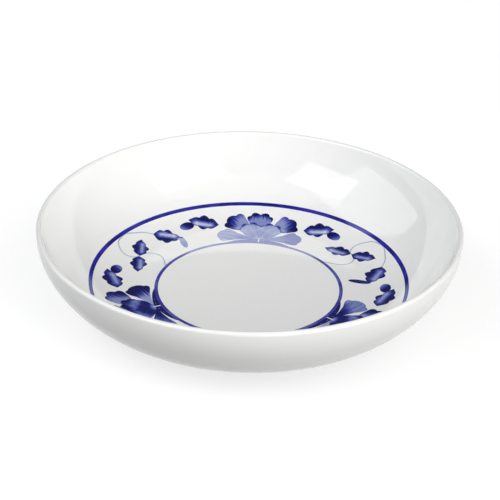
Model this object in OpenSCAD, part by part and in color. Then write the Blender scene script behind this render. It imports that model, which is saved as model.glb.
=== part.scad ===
// Round soy sauce dish: a moulded body on a foot ring, with a printed sheet let into the well.
// The dish stands on the plane z = 0, with its axis on z. The print repeats three times round the axis.

/* [Overall size] */
// Diameter over the lip
rim_d = 95; // [90:0.5:102]
// Height from the table to the top of the lip
dish_h = 20.4; // [18.5:0.1:24]

/* [Wall] */
// Thickness of the full round lip
lip_t = 1.4; // [1.1:0.1:2]
// Thickness of the floor inside the foot ring
floor_t = 2; // [1.7:0.1:2.6]
// Slope at which the outside goes from its wide lower arc to its upper arc, in degrees
side_turn = 62; // [55:1:66]
// Slope at which the well goes from its lower arc to its upper arc, in degrees
well_turn = 48; // [42:1:54]
// Slope at which the well runs into the lip, in degrees
lip_turn = 75; // [70:1:82]

/* [Foot ring] */
// How far the foot ring stands in from the outside of the lip
foot_inset = 22; // [20:0.5:23.5]
// Width of the foot ring
foot_w = 2.5; // [1.8:0.1:3.5]
// Depth of the recess inside the foot ring
foot_h = 1.1; // [0.8:0.1:1.6]
// Height at which the outside of the bowl leaves the foot ring
heel_h = 1.4; // [1.2:0.1:1.8]
// Radius in the corner between the foot ring and the bowl
heel_r = 0.5; // [0.3:0.05:0.8]
// Radius on the two lower edges of the foot ring
foot_edge_r = 0.4; // [0.2:0.05:0.6]

/* [Printed sheet] */
// How far the printed sheet that is moulded into the well goes on past the outer blue line
sheet_margin = 2.4; // [1.6:0.1:3]
// Thickness of the sheet
sheet_t = 0.25; // [0.2:0.05:0.4]
// Bond line between the sheet and the pocket in the body
sheet_fit = 0.02; // [0.01:0.01:0.04]
// Thickness of the ink on the sheet, which ends flush with the well
ink_t = 0.1; // [0.08:0.01:0.15]

/* [Line borders] */
// How far the middle of the outer blue line lies in from the outside of the lip
line_inset = 11.6; // [10.8:0.1:12.6]
// Width of the outer blue line
outer_line_w = 0.85; // [0.6:0.05:1.2]
// Width of the printed band, from the middle of the outer line to the middle of the inner line
band_w = 14.8; // [13.4:0.1:16.2]
// Width of the inner blue line
inner_line_w = 0.8; // [0.5:0.05:1.1]

/* [Flower scroll] */
// Turn of the first flower about the axis, in degrees
first_turn = 84.5; // [0:0.5:120]
// Width of the scroll's stem
stem_w = 0.3; // [0.2:0.05:0.5]

/* [Hidden] */
spray_count = 3;
rim_r = rim_d / 2;
lip_r = lip_t / 2;
lip_z = dish_h - lip_r;
foot_r = rim_r - foot_inset;
flat_r = foot_r + heel_r;
well_z = foot_h + floor_t;
lip_middle = [rim_r - lip_r, lip_z];
lip_joint = lip_middle - lip_r * slope_way(lip_turn);
outer_line_r = rim_r - line_inset;
line_r = outer_line_r - band_w;
sheet_r = outer_line_r + sheet_margin;
pocket_t = sheet_t + ink_t;
// A height inside the floor, between the underside and the pocket for the sheet
web_z = (heel_h + well_z - pocket_t) / 2;
// By this much one arc laps the next where they run into each other, so that they join in one clean edge
lap = 0.002;
// Each arc's sector reaches this much past its ends, in degrees
past = 20;
// Slope of a plumb side, in degrees
plumb = 90;
body_white = "#f0f0ed";
sheet_white = "#e6e8e6";
navy = "#161f6e";
blue = "#4a55ad";
pale_blue = "#8f97cc";
stem_grey = "#9a9dc2";
// Each row places a motif: turn from the flower's axis, place across the band as a share of its width,
// direction from straight out, then length and width as shares of the band's width
crown_shares = [1, 0.42, 0, 0.43, 0.43];
side_shares = [6.2, 0.42, 47, 0.45, 0.43];
heart_shares = [1.4, 0.1, 19, 0.54, 0.38];
fan_shares = [2.5, 0.12, 79, 0.63, 0.41];
leaf_shares = [20.3, 0.59, 71, 0.51, 0.34];
bud_shares = [31.4, 0.7, 100, 0.26, 0.17];
scroll_shares = [[51.6, 0.75, -137, 0.47, 0.36], [68.7, 0.53, -63, 0.43, 0.28],
    [69.2, 0.525, 117, 0.47, 0.28]];
tail_shares = [41.4, 0.485, 161, 0.36, 0.11];
// The sepals lie along the inner line: turn at both ends, and their thickness as a share of the band
sepal_shares = [[0.4, 21.5], 0.12];
// The stem's way: turn from the flower's axis, and place across the band
stem_shares = [[51.6, 0.75], [54.7, 0.85], [58, 0.905], [62.1, 0.97], [67.1, 0.95], [69.3, 0.905],
    [71.4, 0.813], [72.5, 0.726], [72.4, 0.649], [71.2, 0.57], [68.7, 0.53], [65.2, 0.49], [63.4, 0.437],
    [62.2, 0.344], [63, 0.225], [65.7, 0.13], [68.7, 0.067], [71.5, 0.01]];
// How full a petal is at its base, as a share, and how late it widens towards the tip, as a power
petal_full = [0.35, 1];
fan_full = [0.12, 2];
// Place along a petal that its lobes spread from, and how deep they are as a share of the petal's width
lobe_from_share = 0.6;
lobe_depth_share = 0.12;
// A leaf is widest a little before its middle when this power is less than one
leaf_power = 0.85;
tooth_depth_share = 0.3;
leaf_teeth = 3;
side_lobes = 3;
crown_lobes = 4;
steps_a_lobe = 12;
steps_a_tooth = 5;
steps_a_bud = 16;
steps_a_sepal = 10;
steps_a_bend = 3;
$fn = 144;

// Radii of the lower and the upper arc that together run a across and b up: the lower one goes from level
// to the slope turn, and the upper one from there to the slope end
function lower_radius(a, b, turn, end) =
    (a * (cos(turn) - cos(end)) - b * (sin(end) - sin(turn))) / arcs_divisor(turn, end);
function upper_radius(a, b, turn, end) =
    (b * sin(turn) - a * (1 - cos(turn))) / arcs_divisor(turn, end);
function arcs_divisor(turn, end) =
    sin(turn) * (cos(turn) - cos(end)) - (1 - cos(turn)) * (sin(end) - sin(turn));

// Direction at a slope, from straight down at 0 to level at 90
function slope_way(turn) = [sin(turn), -cos(turn)];

// Half section of a bowl, up to the top of the dish: flat to flat_r at the height low, then two arcs that
// meet at the slope turn and come up to the point tip at the slope end. With grow, moved outwards
module bowl_section(low, tip, turn, end, grow = 0) {
    a = tip[0] - flat_r;
    b = tip[1] - low;
    r1 = lower_radius(a, b, turn, end);
    r2 = upper_radius(a, b, turn, end);
    reach = 2 * (r1 + r2);
    c1 = [flat_r, low + r1];
    c2 = tip - r2 * slope_way(end);
    // The smaller arc's sector is the one that goes on past the place where the arcs meet
    low_past = r2 > r1 ? past : 0;
    low_lap = r2 > r1 ? 3 * lap : lap;
    intersection() {
        union() {
            translate([0, low - grow]) square([flat_r, dish_h - low + grow]);
            intersection() {
                translate(c1) circle(r1 + grow + low_lap);
                polygon([c1, c1 + reach * slope_way(-past), c1 + reach * slope_way(turn + low_past)]);
            }
            intersection() {
                translate(c2) circle(r2 + grow + 2 * lap);
                polygon([
                    c2,
                    c2 + reach * slope_way(turn + low_past - past),
                    c2 + reach * slope_way(end + past)
                ]);
            }
        }
        square([reach, dish_h]);
    }
}

// The well of the dish, or the same well sunk deeper by the thickness of a layer
module well_section(deeper = 0) {
    bowl_section(well_z, lip_joint - lap * slope_way(lip_turn), well_turn, lip_turn, deeper);
}

// Material that fills an inner corner with a radius, or that a rounded outer corner lacks
module corner_fill(r) {
    difference() {
        square([r, r]);
        translate([r, r]) circle(r);
    }
}

module foot_section() {
    inner_r = foot_r - foot_w;
    difference() {
        union() {
            translate([0, foot_h]) square([foot_r, web_z - foot_h]);
            translate([inner_r, 0]) square([foot_w, web_z]);
        }
        translate([inner_r, 0]) corner_fill(foot_edge_r);
        translate([foot_r, 0]) mirror([1, 0]) corner_fill(foot_edge_r);
    }
    translate([foot_r, heel_h]) mirror([0, 1]) corner_fill(heel_r);
    translate([inner_r, foot_h]) mirror([0, 1]) mirror([1, 0]) corner_fill(heel_r);
}

module dish_body() {
    color(body_white) rotate_extrude() {
        difference() {
            intersection() {
                bowl_section(heel_h, [rim_r - 3 * lap, lip_z], side_turn, plumb);
                polygon([[0, 0], [rim_d, 0], [rim_d, lip_z], lip_middle, lip_joint, [0, lip_joint[1]]]);
            }
            well_section();
            intersection() {
                well_section(pocket_t);
                square([sheet_r, lip_z]);
            }
        }
        foot_section();
        translate(lip_middle) circle(lip_r);
    }
}

module printed_sheet() {
    color(sheet_white) rotate_extrude() difference() {
        intersection() {
            well_section(pocket_t - sheet_fit);
            square([sheet_r - sheet_fit, lip_z]);
        }
        well_section(ink_t);
    }
}

// The layer that the ink fills, between two radii
module ink_ring(from_r, to_r) {
    rotate_extrude() intersection() {
        difference() {
            well_section(ink_t);
            well_section();
        }
        translate([from_r, 0]) square([to_r - from_r, lip_z]);
    }
}

// Ink in the shape of the flat outline that is given
module ink() {
    intersection() {
        linear_extrude(height = lip_z) children();
        ink_ring(0, sheet_r);
    }
}

// Outline of a petal from its base at the origin to its tip along x, with lobes on the half by the tip
function tip_share(turn) = (1 + cos(turn)) / 2;
function petal_half(turn, full) = sin(turn) * (full[0] + (1 - full[0]) * pow(tip_share(turn), full[1]));
function lobe_wave(turn, lobes) = abs(lobes % 2 == 1 ? cos(lobes * turn) : sin(lobes * turn));
function petal_points(l, w, lobes, full) = let (
    n = steps_a_lobe * lobes,
    widest = max([for (i = [0 : n]) petal_half(180 * i / n, full)])
) [for (i = [0 : n - 1]) let (
    turn = 360 * i / n,
    edge = [l * tip_share(turn), w / 2 * petal_half(turn, full) / widest],
    out = edge - [l * lobe_from_share, 0],
    dip = lobe_depth_share * w * pow(tip_share(turn), 2) * (1 - lobe_wave(turn, lobes))
) edge - dip * out / norm(out)];

// Outline of a small plain petal
function bud_points(l, w) = [for (i = [0 : steps_a_bud - 1]) let (
    turn = 360 * i / steps_a_bud
) [l * (1 + cos(turn)) / 2, w / 2 * sin(turn)]];

// Half width of a leaf along its length, with rounded teeth
function leaf_half(t, w) = w / 2 * sin(180 * pow(t, leaf_power))
    * (1 - tooth_depth_share * (1 - abs(sin(180 * leaf_teeth * t))));

// Outline of a toothed leaf from its base at the origin to its tip along x
function leaf_points(l, w) = let (n = steps_a_tooth * leaf_teeth) concat(
    [for (i = [0 : n]) [l * i / n, leaf_half(i / n, w)]],
    [for (i = [n - 1 : -1 : 1]) [l * i / n, -leaf_half(i / n, w)]]
);

// Place in the band from a turn and a share of the way across it
function band_point(turn, out_share) = (line_r + out_share * band_w) * [cos(turn), sin(turn)];

// Outline of a sepal that follows the inner line, thickest by the flower's axis and blunt at its far end
function sepal_points(turns, thick_share) = concat(
    [for (i = [0 : steps_a_sepal]) band_point(sepal_turn(turns, i), 0)],
    [for (i = [steps_a_sepal - 1 : -1 : 0]) band_point(sepal_turn(turns, i),
        thick_share * sqrt(1 - i / steps_a_sepal))]
);
function sepal_turn(turns, i) = turns[0] + (turns[1] - turns[0]) * i / steps_a_sepal;

// Smooth curve through the points, with a few steps between each two
function bend_point(p, i, t) = let (
    a = p[max(i - 1, 0)],
    b = p[i],
    c = p[i + 1],
    d = p[min(i + 2, len(p) - 1)]
) b + ((c - a) * t + (2 * a - 5 * b + 4 * c - d) * t * t + (3 * b - a - 3 * c + d) * t * t * t) / 2;
function smooth_points(p) = concat(
    [for (i = [0 : len(p) - 2]) for (k = [0 : steps_a_bend - 1]) bend_point(p, i, k / steps_a_bend)],
    [p[len(p) - 1]]
);

// Outline of a stroke of even width along the points
function side_step(p, i, w) = let (
    way = p[min(i + 1, len(p) - 1)] - p[max(i - 1, 0)]
) w / 2 * [-way[1], way[0]] / norm(way);
function stroke_points(p, w) = concat(
    [for (i = [0 : len(p) - 1]) p[i] + side_step(p, i, w)],
    [for (i = [len(p) - 1 : -1 : 0]) p[i] - side_step(p, i, w)]
);

// Children once for each repeat of the print
module each_repeat() {
    for (i = [0 : spray_count - 1]) rotate(first_turn + 360 * i / spray_count) children();
}

// Children on both sides of the flower's axis
module both_sides() {
    children();
    mirror([0, 1]) children();
}

// Children at the place that a row of shares gives
module placed(row) {
    rotate(row[0]) translate([line_r + row[1] * band_w, 0]) rotate(row[2]) children();
}

module petal(row, lobes, full = petal_full) {
    placed(row) polygon(petal_points(row[3] * band_w, row[4] * band_w, lobes, full));
}

module leaf(row) {
    placed(row) polygon(leaf_points(row[3] * band_w, row[4] * band_w));
}

module bud(row) {
    placed(row) polygon(bud_points(row[3] * band_w, row[4] * band_w));
}

// The flat shapes of the print, from the one on top to the one at the bottom
module lines_flat() {
    circle(line_r + inner_line_w / 2);
    difference() {
        circle(sheet_r);
        circle(outer_line_r - outer_line_w / 2);
    }
}

module sepals_flat() {
    each_repeat() both_sides() polygon(sepal_points(sepal_shares[0], sepal_shares[1]));
}

module fans_flat() {
    each_repeat() both_sides() petal(fan_shares, side_lobes, fan_full);
}

module hearts_flat() {
    each_repeat() both_sides() petal(heart_shares, crown_lobes);
}

module crowns_flat() {
    each_repeat() {
        petal(crown_shares, crown_lobes);
        both_sides() petal(side_shares, side_lobes);
    }
}

module spray_leaves_flat() {
    each_repeat() both_sides() leaf(leaf_shares);
}

module buds_flat() {
    each_repeat() both_sides() bud(bud_shares);
}

module scroll_leaves_flat() {
    each_repeat() {
        for (row = scroll_shares) leaf(row);
        bud(tail_shares);
    }
}

module stems_flat() {
    way = smooth_points([for (p = stem_shares) band_point(p[0], p[1])]);
    each_repeat() polygon(stroke_points(way, stem_w));
}

module outer_line() {
    color(navy) ink_ring(outer_line_r - outer_line_w / 2, outer_line_r + outer_line_w / 2);
}

module inner_line() {
    color(navy) ink_ring(line_r - inner_line_w / 2, line_r + inner_line_w / 2);
}

module sepals() {
    color(navy) ink() difference() {
        sepals_flat();
        lines_flat();
    }
}

module fan_petals() {
    color(blue) ink() difference() {
        fans_flat();
        lines_flat();
        sepals_flat();
    }
}

module heart_petals() {
    color(pale_blue) ink() difference() {
        hearts_flat();
        lines_flat();
        sepals_flat();
        fans_flat();
    }
}

module crown_petals() {
    color(navy) ink() difference() {
        crowns_flat();
        lines_flat();
        fans_flat();
        hearts_flat();
    }
}

module spray_leaves() {
    color(navy) ink() difference() {
        spray_leaves_flat();
        lines_flat();
        crowns_flat();
        fans_flat();
    }
}

module bud_leaves() {
    color(blue) ink() difference() {
        buds_flat();
        lines_flat();
        spray_leaves_flat();
    }
}

module scroll_leaves() {
    color(navy) ink() difference() {
        scroll_leaves_flat();
        lines_flat();
        buds_flat();
    }
}

module scroll_stems() {
    color(stem_grey) ink() difference() {
        stems_flat();
        lines_flat();
        scroll_leaves_flat();
        spray_leaves_flat();
    }
}

dish_body();
printed_sheet();
outer_line();
inner_line();
sepals();
fan_petals();
heart_petals();
crown_petals();
spray_leaves();
bud_leaves();
scroll_leaves();
scroll_stems();
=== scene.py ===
# %% [markdown]
# # A soy sauce dish in white melamine with a blue flower scroll
# A small round dish is pressed from white resin powder in a hot mould. A printed sheet is laid in
# the well, and clear resin over it sets to one hard, glossy skin. This lesson builds the dish from
# the measured solids: the turned shapes are spun from a profile, and the flowers are cut from the
# solids' own ink, so that each petal stays where the solids have it.

import math

import bpy
from mathutils import Matrix, Vector


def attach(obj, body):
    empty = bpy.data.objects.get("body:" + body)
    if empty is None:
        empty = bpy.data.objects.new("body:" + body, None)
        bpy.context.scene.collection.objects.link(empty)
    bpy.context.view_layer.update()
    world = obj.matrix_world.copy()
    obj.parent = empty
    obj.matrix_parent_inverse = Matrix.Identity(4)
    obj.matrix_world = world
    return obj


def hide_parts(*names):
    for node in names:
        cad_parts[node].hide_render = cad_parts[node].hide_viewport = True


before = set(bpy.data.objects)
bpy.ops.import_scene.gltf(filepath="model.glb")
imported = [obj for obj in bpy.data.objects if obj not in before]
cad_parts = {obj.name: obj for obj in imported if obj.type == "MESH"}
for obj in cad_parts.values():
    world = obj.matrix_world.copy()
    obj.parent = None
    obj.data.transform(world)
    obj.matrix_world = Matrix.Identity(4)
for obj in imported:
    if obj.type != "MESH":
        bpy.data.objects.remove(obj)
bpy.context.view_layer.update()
MM = 0.001


print("solids:", sorted(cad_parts))

# %% [markdown]
# ## Sizes
# Blender works in metres and a small dish is easier to read in millimetres, so every size is
# written in millimetres and turned to metres where a point is made. These are the sizes of the
# solids. The sheet lies in a shallow pocket of the body, and the ink on it ends level with the
# well.

# %% Sizes of the dish, in millimetres
RIM_R = 47.5
DISH_H = 20.4
LIP_R = 0.7
FOOT_R = 25.5
FOOT_W = 2.5
FOOT_H = 1.1
FOOT_EDGE_R = 0.4
HEEL_H = 1.4  # where the outside leaves the foot ring, above the table
HEEL_R = 0.5  # hollow between the foot ring and the outside
WELL_Z = 3.1  # the flat middle, above the table
LIP_Z = DISH_H - LIP_R
FLAT_R = FOOT_R + HEEL_R

# %% Sizes of the print, in millimetres
SHEET_R = 38.3
POCKET_T = 0.35  # depth of the pocket, for the sheet and the ink
BOND = 0.02  # bond line between the pocket and the sheet
UNDER_INK = 0.02  # how far the sheet's face lies under the face of the ink
INK_T = 0.1
OUTER_LINE_R = 35.9
OUTER_LINE_W = 0.85
BAND_W = 14.8  # from one line to the other
INNER_LINE_R = OUTER_LINE_R - BAND_W
INNER_LINE_W = 0.8

# %% [markdown]
# ## A wall of arcs
# The well and the outside are each two arcs that run into each other. Given the corner that they
# fill and the slope at which they meet, two short formulas give their radii. Slopes are counted
# from level, so a slope of a quarter turn is upright.

# %% Radii of the arcs
QUARTER = math.pi / 2
SIDE_TURN = math.radians(62)
WELL_TURN = math.radians(48)
LIP_TURN = math.radians(75)


def arc_radii(across, up, turn, end):
    """Radii of two arcs that run across and up: level to the slope turn, then on to end."""
    s, c, s_end, c_end = math.sin(turn), math.cos(turn), math.sin(end), math.cos(end)
    divisor = s * (c - c_end) - (1 - c) * (s_end - s)
    lower = (across * (c - c_end) - up * (s_end - s)) / divisor
    upper = (up * s - across * (1 - c)) / divisor
    return lower, upper


joint_x = RIM_R - LIP_R - LIP_R * math.sin(LIP_TURN)
joint_z = LIP_Z + LIP_R * math.cos(LIP_TURN)
WELL_LOW_R, WELL_UP_R = arc_radii(joint_x - FLAT_R, joint_z - WELL_Z, WELL_TURN, LIP_TURN)
SIDE_LOW_R, SIDE_UP_R = arc_radii(RIM_R - FLAT_R, LIP_Z - HEEL_H, SIDE_TURN, QUARTER)
print("well arcs", round(WELL_LOW_R, 2), round(WELL_UP_R, 2))
print("side arcs", round(SIDE_LOW_R, 2), round(SIDE_UP_R, 2))

# %% [markdown]
# ## A pen that draws a profile
# Turned ware is drawn as half a section and spun about its axis. There is no primitive of one
# point, so a small plane is merged to its middle, and that point is the pen. A straight stretch is
# an extrude, and an arc is a spin of the point about the arc's centre, the way a pair of compasses
# draws it.

# %% The pen
ARC_STEP = math.radians(2.5)  # longest step along an arc of the profile
TURN_STEPS = 192  # steps once round the axis
SEAM_GAP = 0.002 * MM  # points nearer than this are one point
SHARP = math.radians(35)  # edges that turn by more than this stay sharp


def only(piece):
    """Makes this piece the active one and the only one that is selected."""
    bpy.ops.object.select_all(action="DESELECT")
    piece.select_set(True)
    bpy.context.view_layer.objects.active = piece


class Pen:
    """Draws a profile in the plane y = 0 from one point, then spins it to a closed solid."""

    def __init__(self, name, x, z):
        bpy.ops.object.select_all(action="DESELECT")
        bpy.ops.mesh.primitive_plane_add(size=MM, location=(x * MM, 0, z * MM))
        self.piece = bpy.context.object
        self.piece.name = name
        bpy.ops.object.transform_apply(location=True, rotation=False, scale=False)
        bpy.ops.object.mode_set(mode="EDIT")
        bpy.ops.mesh.select_all(action="SELECT")
        bpy.ops.mesh.merge(type="CENTER")
        self.x, self.z = x, z

    def line(self, x, z):
        """Draws a straight stretch to a point."""
        step = ((x - self.x) * MM, 0, (z - self.z) * MM)
        bpy.ops.mesh.extrude_region_move(TRANSFORM_OT_translate={"value": step})
        self.x, self.z = x, z

    def arc(self, x, z, turn):
        """Draws an arc about the centre x, z. A positive turn goes from +x towards +z."""
        steps = max(2, math.ceil(abs(turn) / ARC_STEP))
        bpy.ops.mesh.spin(steps=steps, angle=turn, center=(x * MM, 0, z * MM), axis=(0, 1, 0))
        dx, dz = self.x - x, self.z - z
        self.x = x + dx * math.cos(turn) - dz * math.sin(turn)
        self.z = z + dx * math.sin(turn) + dz * math.cos(turn)

    def turned(self):
        """Spins the profile about the axis and closes its seam and its poles."""
        bpy.ops.mesh.select_all(action="SELECT")
        bpy.ops.mesh.spin(
            steps=TURN_STEPS, angle=2 * math.pi, center=(0, 0, 0), axis=(0, 0, 1)
        )
        bpy.ops.mesh.select_all(action="SELECT")
        bpy.ops.mesh.remove_doubles(threshold=SEAM_GAP)
        bpy.ops.mesh.normals_make_consistent(inside=False)
        bpy.ops.object.mode_set(mode="OBJECT")
        only(self.piece)
        bpy.ops.object.shade_smooth_by_angle(angle=SHARP)
        print(self.piece.name, "has", len(self.piece.data.polygons), "faces")
        return self.piece


# %% [markdown]
# ## The dish body
# The body is one pressed piece with a full round lip and a foot ring. A cylinder pushed into shape
# would carry its caps and corners along, so the profile is drawn instead. The pen starts at the
# middle of the pocket and goes up the well, over the lip, down the outside and round the foot ring
# to the middle of the underside.

# %% Spin the body
well_middle_z = WELL_Z + WELL_LOW_R
pocket_turn = math.asin((SHEET_R - FLAT_R) / (WELL_LOW_R + POCKET_T))
edge_turn = math.asin((SHEET_R - FLAT_R) / WELL_LOW_R)
up_x = joint_x - WELL_UP_R * math.sin(LIP_TURN)
up_z = joint_z + WELL_UP_R * math.cos(LIP_TURN)
foot_in_r = FOOT_R - FOOT_W

pen = Pen("dish_shell", 0, WELL_Z - POCKET_T)
# the pocket and its edge
pen.line(FLAT_R, WELL_Z - POCKET_T)
pen.arc(FLAT_R, well_middle_z, pocket_turn)
pen.line(SHEET_R, well_middle_z - WELL_LOW_R * math.cos(edge_turn))
# the well's two arcs and the lip
pen.arc(FLAT_R, well_middle_z, WELL_TURN - edge_turn)
pen.arc(up_x, up_z, LIP_TURN - WELL_TURN)
pen.arc(RIM_R - LIP_R, LIP_Z, -QUARTER - LIP_TURN)
# the outside's two arcs
pen.arc(RIM_R - SIDE_UP_R, LIP_Z, SIDE_TURN - QUARTER)
pen.arc(FLAT_R, HEEL_H + SIDE_LOW_R, -SIDE_TURN)
# the foot ring, with the hollows beside it and its round edges
pen.arc(FLAT_R, HEEL_H - HEEL_R, QUARTER)
pen.line(FOOT_R, FOOT_EDGE_R)
pen.arc(FOOT_R - FOOT_EDGE_R, FOOT_EDGE_R, -QUARTER)
pen.line(foot_in_r + FOOT_EDGE_R, 0)
pen.arc(foot_in_r + FOOT_EDGE_R, FOOT_EDGE_R, -QUARTER)
pen.line(foot_in_r, FOOT_H - HEEL_R)
pen.arc(foot_in_r - HEEL_R, FOOT_H - HEEL_R, QUARTER)
pen.line(0, FOOT_H)
shell = pen.turned()

# %% [markdown]
# ## The printed sheet and the two blue lines
# The sheet is a thin round of printed paper, and clear resin fills the pocket above it. The resin
# has no piece of its own, so the sheet's face is brought up for it, to a hair below the ink: the
# two never share one plane. The two lines are rings of ink, and each is drawn round its own small
# section and spun.

# %% Spin the sheet
sheet_low_r = WELL_LOW_R + POCKET_T - BOND
sheet_top_r = WELL_LOW_R + UNDER_INK
low_turn = math.asin((SHEET_R - FLAT_R) / sheet_low_r)
top_turn = math.asin((SHEET_R - FLAT_R) / sheet_top_r)

pen = Pen("print_sheet", 0, WELL_Z - UNDER_INK)
pen.line(FLAT_R, WELL_Z - UNDER_INK)
pen.arc(FLAT_R, well_middle_z, top_turn)
pen.line(SHEET_R, well_middle_z - sheet_low_r * math.cos(low_turn))
pen.arc(FLAT_R, well_middle_z, -low_turn)
pen.line(0, WELL_Z - POCKET_T + BOND)
sheet = pen.turned()


# %% Spin the two lines
LINE_STEPS = 4  # steps across a line, so that it follows the curve of the well


def well_height(r, deeper=0.0):
    """Height of the well at a radius, or of the same well sunk deeper."""
    if r <= FLAT_R:
        return WELL_Z - deeper
    return well_middle_z - math.sqrt((WELL_LOW_R + deeper) ** 2 - (r - FLAT_R) ** 2)


def ink_line(name, middle_r, width):
    """A ring of ink that ends level with the well."""
    inner = middle_r - width / 2
    radii = [inner + width * i / LINE_STEPS for i in range(LINE_STEPS + 1)]
    line_pen = Pen(name, inner, well_height(inner, INK_T))
    for r in radii:
        line_pen.line(r, well_height(r))
    for r in reversed(radii):
        line_pen.line(r, well_height(r, INK_T))
    return line_pen.turned()


outer_ring = ink_line("outer_blue_line", OUTER_LINE_R, OUTER_LINE_W)
inner_ring = ink_line("inner_blue_line", INNER_LINE_R, INNER_LINE_W)

# %% [markdown]
# ## The flower scroll
# The print repeats three times. In each repeat every motif has a row of five numbers: its turn from
# the flower's axis and its direction, both in degrees, its place across the band, and its length
# and width, all three as shares of the band. The same rows place the solids, and here they do two
# jobs: they tell which island of ink is which motif, and they give each finish its own directions,
# along the petal and across it. The last word says on which sides of the flower the motif stands.

# %% The motifs of one repeat
REPEATS = 3
REPEAT_TURN = 360 / REPEATS
FIRST_TURN = 84.5  # the first flower's axis, in degrees from +x
SIDES = {"single": [False], "pair": [False, True], "left": [False], "right": [True]}
# name: node, slot, (turn, across, direction, length, width), sides
MOTIFS = {
    "crown_front": ("crown_petals", "dark_ink", (1, 0.42, 0, 0.43, 0.43), "single"),
    "crown_sides": ("crown_petals", "dark_ink", (6.2, 0.42, 47, 0.45, 0.43), "pair"),
    "heart_bowls": ("heart_petals", "pale_ink", (1.4, 0.1, 19, 0.54, 0.38), "pair"),
    "fan_pale": ("fan_petals", "petal_ink", (2.5, 0.12, 79, 0.63, 0.41), "left"),
    "fan_deep": ("fan_petals", "petal_ink", (2.5, 0.12, 79, 0.63, 0.41), "right"),
    "sepal_band": ("sepals", "dark_ink", (0, 0, 90, 0.5, 0.24), "pair"),
    "spray_leaf": ("spray_leaves", "leaf_ink", (20.3, 0.59, 71, 0.51, 0.34), "pair"),
    "leaf_bud": ("bud_leaves", "petal_ink", (31.4, 0.7, 100, 0.26, 0.17), "pair"),
    "root_leaf": ("scroll_leaves", "leaf_ink", (51.6, 0.75, -137, 0.47, 0.36), "single"),
    "upper_leaf": ("scroll_leaves", "leaf_ink", (68.7, 0.53, -63, 0.43, 0.28), "single"),
    "lower_leaf": ("scroll_leaves", "leaf_ink", (69.2, 0.525, 117, 0.47, 0.28), "single"),
    "scroll_stem": ("scroll_stems", "stem_ink", (66, 0.5, 90, 0.5, 0.5), "single"),
}
# the small tail leaf is joined to the root leaf, and so it is part of that piece
TAIL_ROW = (41.4, 0.485, 161, 0.36, 0.11)


def turned_by(point, degrees):
    """A point of the plane turned about the axis."""
    s, c = math.sin(math.radians(degrees)), math.cos(math.radians(degrees))
    return (point[0] * c - point[1] * s, point[0] * s + point[1] * c)


def motif_middle(row, mirrored):
    """Middle of a motif in millimetres, in the frame of the first flower's axis."""
    turn, across, way, length, _ = row
    reach = turned_by((length * BAND_W / 2, 0), way)
    x, y = turned_by((INNER_LINE_R + across * BAND_W + reach[0], reach[1]), turn)
    return (x, -y) if mirrored else (x, y)


def nearest_motif(node, x, y):
    """Name of the motif of this node whose middle is nearest to a point, in any repeat."""
    found = []
    for name, (owner, _, row, kind) in MOTIFS.items():
        if owner != node:
            continue
        for mirrored in SIDES[kind]:
            for repeat in range(REPEATS):
                turn = FIRST_TURN + REPEAT_TURN * repeat
                mx, my = turned_by(motif_middle(row, mirrored), turn)
                found.append((math.hypot(mx - x, my - y), name))
    return min(found)[1]


# %% [markdown]
# ## Cutting the ink into motifs
# A solid's mesh comes in as loose triangles, so a copy is made and its points are merged. Its
# islands are then told apart by the nearest motif, and the points of the others are deleted. The
# ink lies in glossy resin that follows the well, so its normals are taken from the turned sheet:
# the shine then runs over paper and ink in one rise.

# %% Find the islands of a mesh
def islands_of(mesh):
    """Groups of vertex numbers that hang together."""
    group = list(range(len(mesh.vertices)))

    def find(i):
        while group[i] != i:
            group[i] = group[group[i]]
            i = group[i]
        return i

    for edge in mesh.edges:
        group[find(edge.vertices[0])] = find(edge.vertices[1])
    found = {}
    for i in range(len(mesh.vertices)):
        found.setdefault(find(i), []).append(i)
    return list(found.values())


def middle_of(points, island):
    """Mean place of an island in millimetres, as seen from above."""
    x = sum(points[i].co.x for i in island) / len(island) / MM
    y = sum(points[i].co.y for i in island) / len(island) / MM
    return x, y


# %% Cut out one motif
WELD_GAP = 0.001 * MM  # the loose triangles' corners are joined within this distance


def select_others(piece, node, name):
    """Selects the points of every island that isn't this motif, and counts the ones that are."""
    points = piece.data.vertices
    kept = 0
    for island in islands_of(piece.data):
        if nearest_motif(node, *middle_of(points, island)) == name:
            kept += 1
            continue
        for i in island:
            points[i].select = True
    return kept


def borrow_shine(piece):
    """Gives a piece the normals of the sheet under it."""
    bpy.ops.object.shade_smooth()
    borrow = piece.modifiers.new("shine", "DATA_TRANSFER")
    borrow.object = sheet
    borrow.use_loop_data = True
    borrow.data_types_loops = {"CUSTOM_NORMAL"}
    borrow.loop_mapping = "POLYINTERP_NEAREST"
    bpy.ops.object.modifier_apply(modifier=borrow.name)


def cut_out(name):
    """One motif of every repeat, as a piece of its own."""
    node, slot, _, _ = MOTIFS[name]
    bpy.ops.object.select_all(action="DESELECT")
    piece = bpy.data.objects.new(name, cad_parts[node].data.copy())
    bpy.context.collection.objects.link(piece)
    piece.data.name = name
    only(piece)
    bpy.ops.object.mode_set(mode="EDIT")
    bpy.ops.mesh.select_all(action="SELECT")
    bpy.ops.mesh.remove_doubles(threshold=WELD_GAP)
    bpy.ops.mesh.select_all(action="DESELECT")
    bpy.ops.object.mode_set(mode="OBJECT")
    kept = select_others(piece, node, name)
    bpy.ops.object.mode_set(mode="EDIT")
    bpy.ops.mesh.delete(type="VERT")
    bpy.ops.object.mode_set(mode="OBJECT")
    borrow_shine(piece)
    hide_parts(node)
    print(name, "islands:", kept, "faces:", len(piece.data.polygons))
    return piece


ink_pieces = {name: cut_out(name) for name in MOTIFS}

# %% [markdown]
# ## Writing shader maths as sums
# A finish is easier to read as a formula than as a web of nodes. One small class wraps a socket and
# answers to plus, minus, times and divide, and each answer adds a Math node. Every other node comes
# from one method, which takes the node's type, its settings and what goes into its sockets.

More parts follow.
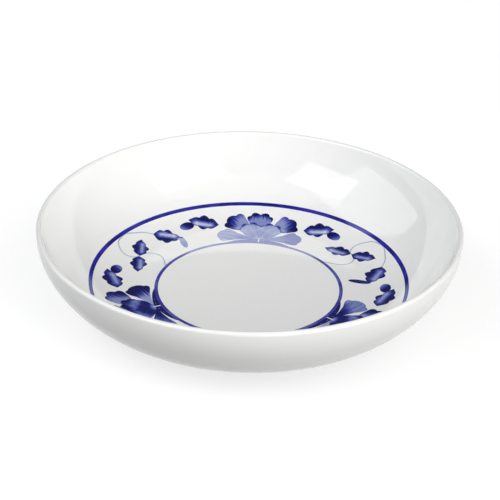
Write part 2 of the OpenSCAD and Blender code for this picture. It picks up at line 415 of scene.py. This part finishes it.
# %% The sum class
class Value:
    """A socket that can be used in a sum."""

    def __init__(self, paint, socket):
        self.paint = paint
        self.socket = socket

    def __add__(self, other):
        return self.paint.math("ADD", self, other)

    def __radd__(self, other):
        return self.paint.math("ADD", other, self)

    def __sub__(self, other):
        return self.paint.math("SUBTRACT", self, other)

    def __rsub__(self, other):
        return self.paint.math("SUBTRACT", other, self)

    def __mul__(self, other):
        return self.paint.math("MULTIPLY", self, other)

    def __truediv__(self, other):
        return self.paint.math("DIVIDE", self, other)

    def __abs__(self):
        return self.paint.math("ABSOLUTE", self)


def between(low, high, share):
    """The first at a share of 0, the second at a share of 1, and a straight run between."""
    return share * (high - low) + low


# %% The paint class
class Paint:
    """A new material with the methods that add its nodes."""

    def __init__(self, name):
        self.material = bpy.data.materials.new(name)
        self.material.use_nodes = True
        self.tree = self.material.node_tree
        self.sockets = self.tree.nodes["Principled BSDF"].inputs

    def feed(self, socket, value):
        """Links a value to a socket, or sets a plain number or colour on it."""
        if isinstance(value, Value):
            self.tree.links.new(value.socket, socket)
        else:
            socket.default_value = value

    def shade(self, name, value):
        """Feeds a socket of the material's shader."""
        self.feed(self.sockets[name], value)

    def node(self, kind, settings=None, inputs=None, out=0):
        """Adds a node, makes its settings, then fills its sockets."""
        made = self.tree.nodes.new(kind)
        for key, value in (settings or {}).items():
            setattr(made, key, value)
        for key, value in (inputs or {}).items():
            self.feed(made.inputs[key], value)
        return Value(self, made.outputs[out])

    def math(self, operation, *values):
        """A Math node of any operation."""
        return self.node("ShaderNodeMath", {"operation": operation}, dict(enumerate(values)))

    def smooth(self, value, low, high):
        """0 below low, 1 above high, and a soft rise between them."""
        return self.node("ShaderNodeMapRange", {"interpolation_type": "SMOOTHSTEP"},
                         {"Value": value, "From Min": low, "From Max": high})

    def noise(self, vector, scale, detail):
        """Soft noise from 0 to 1. A larger scale makes it finer."""
        return self.node("ShaderNodeTexNoise", None,
                         {"Vector": vector, "Scale": scale, "Detail": detail, "Roughness": 0.5})

    def blend(self, factor, first, second):
        """The first colour at a factor of 0, the second at a factor of 1."""
        return self.node("ShaderNodeMix", {"data_type": "RGBA"},
                         {"Factor": factor, "A": first, "B": second}, out="Result")

    def ramp(self, factor, stops):
        """A colour ramp from its stops, each a place and a colour."""
        made = self.node("ShaderNodeValToRGB", None, {"Fac": factor})
        elements = made.socket.node.color_ramp.elements
        while len(elements) < len(stops):
            elements.new(1.0)
        for element, (place, colour) in zip(elements, stops):
            element.position = place
            element.color = colour
        return made

    def place(self):
        """Object coordinates as one vector."""
        return self.node("ShaderNodeTexCoord", out="Object")

    def xyz(self):
        """Object coordinates as x, y and z."""
        split = self.node("ShaderNodeSeparateXYZ", None, {"Vector": self.place()})
        outputs = split.socket.node.outputs
        return Value(self, outputs["X"]), Value(self, outputs["Y"]), Value(self, outputs["Z"])

    def vector(self, x, y, z=0.0):
        """A vector from three values."""
        return self.node("ShaderNodeCombineXYZ", None, {"X": x, "Y": y, "Z": z})


def rgb(red, green, blue):
    """A colour as a screen shows it, turned to the plain light that shaders reckon with."""
    def plain(v):
        v /= 255
        return v / 12.92 if v <= 0.04045 else ((v + 0.055) / 1.055) ** 2.4
    return (plain(red), plain(green), plain(blue), 1.0)


def grey(v):
    """A grey as plain light."""
    return (v, v, v, 1.0)


# %% [markdown]
# ## White melamine
# Pressed melamine is dense and white, with the mould's polish on it. From close by the polish is
# not quite even: it has a very slight ripple, the gloss is a little softer here and there, and the
# foot ring, which slides over tables, has lost its shine. Real dishes also show tiny dark specks
# from the powder. The paper of the print has the same white, with a fibre for its grain.

# %% The resin's skin
RESIN_INDEX = 1.58
WHITE_RIPPLE = 0.000002  # height of the ripple in metres
INK_RIPPLE = 0.000004


def gloss(paint, roughness, ripple_height):
    """Clear resin: its index, a roughness and a faint ripple."""
    ripple = paint.noise(paint.place(), scale=160.0, detail=1.5)
    bump = paint.node("ShaderNodeBump", None,
                      {"Strength": 1.0, "Distance": 1.0, "Height": ripple * ripple_height})
    paint.shade("Roughness", roughness)
    paint.shade("Normal", bump)
    paint.shade("IOR", RESIN_INDEX)


# %% Finish of the body
WHITE_LOW = rgb(239, 240, 238)
WHITE_HIGH = rgb(243, 243, 241)
SPECK_BROWN = rgb(150, 148, 140)
SPECK_STRENGTH = 0.25
SPECK_START, SPECK_FULL = 0.8, 0.84  # only the peaks of the powder's noise are specks
WORN_WHITE = rgb(205, 203, 197)
WEAR_STRENGTH = 0.6
WEAR_LOW, WEAR_HIGH = 0.15 * MM, 0.7 * MM  # worn up to the first height, sound from the second
POLISH, CLOUDED, WORN = 0.04, 0.03, 0.4  # roughness, and what clouds and wear add to it

body_paint = Paint("white_melamine")
cloud = body_paint.noise(body_paint.place(), scale=38.0, detail=3.0)
powder = body_paint.noise(body_paint.place(), scale=900.0, detail=1.0)
speck = body_paint.smooth(powder, SPECK_START, SPECK_FULL)
_, _, height = body_paint.xyz()
wear = 1 - body_paint.smooth(height, WEAR_LOW, WEAR_HIGH)
white = body_paint.blend(cloud, WHITE_LOW, WHITE_HIGH)
specked = body_paint.blend(speck * SPECK_STRENGTH, white, SPECK_BROWN)
worn = body_paint.blend(wear * WEAR_STRENGTH, specked, WORN_WHITE)
body_paint.shade("Base Color", worn)
gloss(body_paint, POLISH + cloud * CLOUDED + wear * WORN, WHITE_RIPPLE)
shell.data.materials.append(body_paint.material)

# %% Finish of the sheet
PAPER_POLISH, FIBROUS = 0.05, 0.02  # roughness, and what the fibre adds to it

sheet_paint = Paint("printed_paper_white")
fibre = sheet_paint.noise(sheet_paint.place(), scale=700.0, detail=3.0)
sheet_paint.shade("Base Color", sheet_paint.blend(fibre, WHITE_LOW, WHITE_HIGH))
gloss(sheet_paint, PAPER_POLISH + fibre * FIBROUS, WHITE_RIPPLE)
sheet.data.materials.append(sheet_paint.material)

# %% [markdown]
# ## Blue ink
# The print imitates brush painting in cobalt: one blue, laid on thick at the lobed edges and wiped
# out to a pale wash towards the base, with fine streaks where the brush ran. So a finish is one
# number, the tone, and a ramp from paper through pale and mid blue to navy. Along and across each
# petal are worked out from the place on the dish: radius and turn first, then the motif's own row.

# %% From tone to ink
INK_ROUGHNESS = 0.08
GRAIN = 0.12  # how much the paper's grain shifts the tone
TONES = [
    (0.0, rgb(228, 231, 236)),
    (0.2, rgb(168, 176, 211)),
    (0.45, rgb(97, 108, 180)),
    (0.7, rgb(44, 53, 146)),
    (1.0, rgb(10, 14, 80)),
]


def along_and_across(paint, row, paired):
    """0 to 1 along a motif and -1 to 1 across it, from the place on the dish."""
    turn, across, way, length, width = row
    x, y, _ = paint.xyz()
    radius = paint.math("SQRT", x * x + y * y) * (1 / MM)
    angle = paint.math("ARCTAN2", y, x)
    half_repeat = math.pi / REPEATS
    if paired:
        axis = math.radians(FIRST_TURN)
        from_axis = paint.math("WRAP", angle - axis, half_repeat, -half_repeat)
        a = abs(from_axis) - math.radians(turn)
    else:
        axis = math.radians(FIRST_TURN + turn)
        a = paint.math("WRAP", angle - axis, half_repeat, -half_repeat)
    u = radius * paint.math("COSINE", a) - (INNER_LINE_R + across * BAND_W)
    v = radius * paint.math("SINE", a)
    c, s = math.cos(math.radians(way)), math.sin(math.radians(way))
    along = (u * c + v * s) / (length * BAND_W)
    side = (v * c - u * s) / (width * BAND_W / 2)
    return along, side


def ink(name, tone_of):
    """A finish for one motif from a formula for its tone."""
    _, _, row, kind = MOTIFS[name]
    paint = Paint("ink_" + name)
    along, side = along_and_across(paint, row, kind != "single")
    x, y, _ = paint.xyz()
    grain = paint.noise(paint.vector(x, y), scale=2600.0, detail=2.0)
    tone = tone_of(paint, along, side) + (grain - 0.5) * GRAIN
    paint.shade("Base Color", paint.ramp(tone, TONES))
    gloss(paint, INK_ROUGHNESS, INK_RIPPLE)
    materials = ink_pieces[name].data.materials
    materials.clear()
    materials.append(paint.material)


# %% [markdown]
# ## Tones of the petals
# Each formula starts from how far a point is along the petal and across it. Soft steps lay navy
# where the petal ends and leave pale where it begins, and the brush streaks fray these steps. The
# flower at the back of the dish is paler than the other two: partly its print is washed paler, and
# partly painted sheen, the gloss's reflection of the bright backdrop, is laid into the ink there.

# %% Helpers for the tones
STREAK_SCALE = 1.6
STREAK_RUN = 1.1  # how often the streaks change along a petal
BACK_SLANT = 0.8  # the back's field is bounded by this slope on both sides of the axis
BACK_RISE = 6 * MM  # and its edge is this soft


def streaks(paint, along, side, seed, fine=4.5):
    """Brush streaks that run along a petal, from about -0.5 to 0.5."""
    field = paint.vector(along * STREAK_RUN, side * fine, seed)
    return paint.noise(field, scale=STREAK_SCALE, detail=2.0) - 0.5


def past(paint, along, start):
    """0 up to a place along the petal, then a straight rise to 1 at its tip."""
    return paint.math("MAXIMUM", along - start, 0.0) * (1 / (1 - start))


def back_wash_and_sheen(paint):
    """1 on the flower at the back of the dish and 0 elsewhere: its paler ink is part print, part
    painted sheen.
    """
    x, y, _ = paint.xyz()
    return paint.smooth(y - abs(x) * BACK_SLANT, 0.0, BACK_RISE)


# %% Tones of the petals
def crown_front_tone(paint, along, side):
    """The middle petal on top: navy round its lobed edge."""
    brush = streaks(paint, along, side, seed=3.0)
    tip = past(paint, along, 0.3)
    edge = tip * tip + side * side * 0.45
    return between(0.36, 1.0, paint.smooth(edge + brush * 0.9, 0.28, 0.8))


def crown_side_tone(paint, along, side):
    """A petal beside it: navy at the tip and on its outer half."""
    brush = streaks(paint, along, side, seed=5.0)
    edge = past(paint, along, 0.35) * 0.75 + side * 0.35 + side * side * 0.25
    return between(0.32, 1.0, paint.smooth(edge + brush * 0.8, 0.12, 0.72))


def heart_tone(paint, along, side):
    """A bowl of the heart: a deep band near its base and a dark edge, both faint at the back."""
    brush = streaks(paint, along, side, seed=7.0, fine=3.5)
    lobed = along + side * side * 0.25
    edge = paint.smooth(lobed + brush * 0.45, 0.66, 0.9)
    band_end = paint.smooth(along + side * 0.12 + brush * 0.3, 0.36, 0.56)
    band = paint.smooth(along, 0.08, 0.2) - band_end
    deep = 0.42 + edge * 0.55 + band * 0.5
    pale = 0.22 + paint.smooth(lobed, 0.86, 0.97) * 0.45 + band * 0.06
    # paler at the back: partly a paler print, partly painted sheen laid into the ink's colour
    return between(deep, pale, back_wash_and_sheen(paint)) + brush * 0.3


def fan_pale_tone(paint, along, side):
    """The pale petal of the fan: dark at its root alone."""
    brush = streaks(paint, along, side, seed=11.0, fine=3.5)
    root = 1 - paint.smooth(along - side * 0.2, 0.2, 0.66)
    # the back's paler tone is partly print and partly painted sheen
    back = back_wash_and_sheen(paint)
    return between(0.4, 0.22, back) + root * between(0.6, 0.1, back) + brush * 0.4


def fan_deep_tone(paint, along, side):
    """The deep petal of the fan: navy from its middle to its tip."""
    brush = streaks(paint, along, side, seed=13.0, fine=5.0)
    tip = paint.smooth(along + side * side * 0.12 + brush * 0.6, 0.34, 0.76)
    # the back's paler tip is partly print and partly painted sheen
    return 0.26 + tip * between(0.72, 0.08, back_wash_and_sheen(paint))


def sepal_tone(paint, along, side):
    """The sepals along the inner line: dark, with a few paler dabs."""
    dabs = paint.smooth(streaks(paint, along * 5.0, side, seed=17.0, fine=1.5), 0.06, 0.18)
    # paler at the back: partly print, partly painted sheen
    return between(0.95, 0.5, dabs) * between(1.0, 0.34, back_wash_and_sheen(paint))


# %% [markdown]
# ## Tones of the leaves
# A toothed leaf is navy at its edges, and a pale wash runs along its bent midrib. The bend turns
# one way or the other, so the leaves of a scroll don't all match.

# %% Tones of the leaves
STEM_TONE = 0.17
TAIL_SHADE_W = 10 * MM  # the tail darkens over this width, to the right of the axis


def leaf_tone(bend_way):
    """The tone of a toothed leaf whose midrib bends to one side, 1 or -1."""
    def tone(paint, along, side):
        brush = streaks(paint, along * 3.0, side, seed=19.0, fine=2.5)
        bow = paint.math("SINE", along * math.pi) * 0.12 * bend_way
        off_rib = abs((side + bow) * bend_way + 0.1)
        wash = 1 - paint.smooth(off_rib + brush * 0.3, 0.0, 0.62)
        wash = wash * paint.smooth(along, 0.0, 0.3) * (1 - paint.smooth(along, 0.7, 1.0))
        # the wash is paler at the back: partly print, partly painted sheen
        return 0.96 - wash * between(0.68, 0.84, back_wash_and_sheen(paint)) + brush * 0.2
    return tone


def bud_tone(paint, along, side):
    """A round bud, wiped paler towards its tip."""
    return between(1.0, 0.4, paint.smooth(along + side * 0.2, 0.3, 1.0))


def root_tone(paint, along, side):
    """The leaf at the root of the scroll, with the small tail leaf that grows from its tip."""
    leaf = leaf_tone(-1)(paint, along, side)
    tail_along, tail_side = along_and_across(paint, TAIL_ROW, False)
    on_tail = paint.smooth(tail_along, 0.0, 0.16) * (1 - paint.smooth(abs(tail_side), 1.1, 1.6))
    x, _, _ = paint.xyz()
    shade = paint.smooth(x, 0.0, TAIL_SHADE_W)
    tail = 0.22 + paint.smooth(tail_along, 0.2, 0.7) * 0.1 + shade * 0.6
    return between(leaf, tail, on_tail)


def stem_tone(paint, along, side):
    """The thin stem: one pale tone."""
    return STEM_TONE


# %% Ink on every motif
for name, tone_of in (
    ("crown_front", crown_front_tone),
    ("crown_sides", crown_side_tone),
    ("heart_bowls", heart_tone),
    ("fan_pale", fan_pale_tone),
    ("fan_deep", fan_deep_tone),
    ("sepal_band", sepal_tone),
    ("spray_leaf", leaf_tone(-1)),
    ("leaf_bud", bud_tone),
    ("root_leaf", root_tone),
    ("upper_leaf", leaf_tone(1)),
    ("lower_leaf", leaf_tone(-1)),
    ("scroll_stem", stem_tone),
):
    ink(name, tone_of)
print("motifs with ink:", len(ink_pieces))

# %% Finish of the two lines
BACK_SHEEN_LINE = rgb(170, 172, 212)
WOBBLE_LOW, WOBBLE_HIGH = 0.35, 0.65

# ring, name, its two blues, and how far it is paled at the back, by a paler print and painted sheen
for ring, name, pale, deep, washed in (
    (outer_ring, "outer", rgb(50, 46, 166), rgb(26, 26, 130), 0.0),
    (inner_ring, "inner", rgb(88, 88, 174), rgb(52, 54, 146), 0.7),
):
    line_paint = Paint("ink_" + name + "_line")
    wobble = line_paint.noise(line_paint.place(), scale=240.0, detail=2.0)
    colour = line_paint.blend(line_paint.smooth(wobble, WOBBLE_LOW, WOBBLE_HIGH), pale, deep)
    # at the back the inner line is paled: partly print, partly painted sheen
    colour = line_paint.blend(back_wash_and_sheen(line_paint) * washed, colour, BACK_SHEEN_LINE)
    line_paint.shade("Base Color", colour)
    gloss(line_paint, INK_ROUGHNESS, INK_RIPPLE)
    ring.data.materials.append(line_paint.material)

# %% [markdown]
# ## Joining the frame
# Every piece rides on the one body of this part and stands for the solid that it replaces.

# %% Ride, replace
for piece, node, slot in (
    (shell, "dish_body", "body_white"),
    (sheet, "printed_sheet", "sheet_white"),
    (outer_ring, "outer_line", "line_ink"),
    (inner_ring, "inner_line", "line_ink"),
):
    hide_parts(node)
    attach(piece, "root")
for piece in ink_pieces.values():
    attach(piece, "root")
print("motifs that ride:", len(ink_pieces))

# %% [markdown]
# ## The camera
# The photo looks down on the dish at about twenty-eight degrees from over a third of a metre away.
# Lens and place were worked out from the lip's outline and the two printed lines. The camera first
# looks straight at a point near the middle of the lip, then rolls a little and tips down, which
# puts the dish where the photo has it.

# %% Camera
VIEW_UP = math.radians(28.25)
VIEW_ROLL = math.radians(1.28)
VIEW_AWAY = 7.43 * RIM_R * MM
AIM_Z = 19.65  # height of the point that the camera is aimed at
FOCAL_PX = 1580.0  # focal length in pixels of the photo
FRAME_PX = 500.0  # size of the photo in pixels
MIDDLE_PX = (250.04, 223.13)  # where the photo has that point
SENSOR = 36.0  # millimetres
NEAREST = 0.01  # metres

camera_data = bpy.data.cameras.new("camera")
camera_data.sensor_width = SENSOR
camera_data.lens = FOCAL_PX / FRAME_PX * SENSOR
camera_data.clip_start = NEAREST
camera = bpy.data.objects.new("camera", camera_data)
bpy.context.scene.collection.objects.link(camera)
look_at = Vector((0, 0, AIM_Z * MM))
away = Vector((0, -math.cos(VIEW_UP), math.sin(VIEW_UP)))
spot = look_at + VIEW_AWAY * away
tip_down = math.atan((FRAME_PX / 2 - MIDDLE_PX[1]) / FOCAL_PX)
swing = math.atan((MIDDLE_PX[0] - FRAME_PX / 2) / FOCAL_PX)
aim = (
    Matrix.Rotation(QUARTER - VIEW_UP, 4, "X")
    @ Matrix.Rotation(VIEW_ROLL, 4, "Z")
    @ Matrix.Rotation(-tip_down, 4, "X")
    @ Matrix.Rotation(swing, 4, "Y")
)
camera.matrix_world = Matrix.Translation(spot) @ aim
bpy.context.scene.camera = camera
print("camera at", [round(v, 4) for v in spot], "lens", round(camera_data.lens, 1))

# %% [markdown]
# ## The floor
# The dish stands on a plain white floor. Its colour is darker for the light that it throws back at
# the dish than for the eye, and it glows for the eye and for mirror images alone. So the backdrop
# is white while the outside of the dish keeps its shade.

# %% Floor
FLOOR_SIZE = 8.0  # metres
FLOOR_FOR_LIGHT = grey(0.2)
FLOOR_FOR_EYE = grey(0.4)
FLOOR_GLOW = grey(0.7)

bpy.ops.object.select_all(action="DESELECT")
bpy.ops.mesh.primitive_plane_add(size=FLOOR_SIZE, location=(0, 0, 0))
floor = bpy.context.object
floor.name = "floor"
floor_paint = Paint("floor_white")
camera_ray = floor_paint.node("ShaderNodeLightPath", out="Is Camera Ray")
ray_kinds = camera_ray.socket.node.outputs
glossy = Value(floor_paint, ray_kinds["Is Glossy Ray"])
through = Value(floor_paint, ray_kinds["Is Transmission Ray"])
seen = floor_paint.math("MAXIMUM", floor_paint.math("MAXIMUM", camera_ray, glossy), through)
floor_paint.shade("Base Color", floor_paint.blend(seen, FLOOR_FOR_LIGHT, FLOOR_FOR_EYE))
floor_paint.shade("Emission Color", floor_paint.blend(seen, grey(0.0), FLOOR_GLOW))
floor_paint.shade("Emission Strength", 1.0)
floor_paint.shade("Roughness", 1.0)
floor_paint.shade("Specular IOR Level", 0.0)
floor.data.materials.append(floor_paint.material)

# %% [markdown]
# ## The light
# The lamps are large and soft, as in a small product studio: one overhead, two windows that the
# back wall mirrors as soft patches, a bluish box at the left that lights the right wall, a faint
# one at the right, and a low one at the front for the outside. The air round the scene is bright at
# the front right and dim behind, because navy ink under gloss only stays dark where it mirrors
# something dark.

# %% Lamps
LAMP_AWAY = 1.0  # metres from the middle of the dish
WARM = (1.0, 0.995, 0.988)
BLUISH = (0.93, 0.96, 1.0)


def lamp(name, turn, up, wide, tall, radiance, colour=WARM):
    """A soft box that faces the dish. turn is from the camera's side, to the right."""
    data = bpy.data.lights.new(name, "AREA")
    data.shape = "RECTANGLE"
    data.size = wide
    data.size_y = tall
    data.energy = radiance * wide * tall * math.pi  # the power that gives this radiance
    data.color = colour
    box = bpy.data.objects.new(name, data)
    bpy.context.scene.collection.objects.link(box)
    t, u = math.radians(turn), math.radians(up)
    out = Vector((math.sin(t) * math.cos(u), -math.cos(t) * math.cos(u), math.sin(u)))
    box.location = out * LAMP_AWAY
    box.rotation_euler = out.to_track_quat("Z", "Y").to_euler()


lamp("overhead_box", turn=0, up=70, wide=1.5, tall=0.7, radiance=0.6)
lamp("right_window", turn=46, up=29, wide=0.7, tall=0.92, radiance=2.0)
lamp("left_window", turn=-54, up=43, wide=0.56, tall=0.46, radiance=2.1)
lamp("left_side_box", turn=-94, up=38, wide=1.0, tall=0.9, radiance=1.5, colour=BLUISH)
lamp("right_side_box", turn=80, up=30, wide=0.8, tall=0.9, radiance=0.2)
lamp("low_front_box", turn=32, up=12, wide=0.9, tall=0.45, radiance=2.5)

# %% The air round the scene
BRIGHT_WAY = (0.7, -0.71, 0.0)  # towards the bright air, at the front right
# from how far off that way to how far along it the air brightens, and from what to what strength
AIR_RANGE = {"From Min": -0.25, "From Max": 0.85, "To Min": 0.1, "To Max": 0.5}

world = bpy.data.worlds.new("studio_air")
bpy.context.scene.world = world
world.use_nodes = True
air = world.node_tree
direction = air.nodes.new("ShaderNodeTexCoord")
towards = air.nodes.new("ShaderNodeVectorMath")
towards.operation = "DOT_PRODUCT"
towards.inputs[1].default_value = BRIGHT_WAY
rise = air.nodes.new("ShaderNodeMapRange")
rise.interpolation_type = "SMOOTHSTEP"
for key, value in AIR_RANGE.items():
    rise.inputs[key].default_value = value
backdrop = air.nodes["Background"].inputs
backdrop["Color"].default_value = grey(1.0)
air.links.new(direction.outputs["Generated"], towards.inputs[0])
air.links.new(towards.outputs["Value"], rise.inputs["Value"])
air.links.new(rise.outputs["Result"], backdrop["Strength"])
bpy.context.scene.view_settings.view_transform = "Standard"
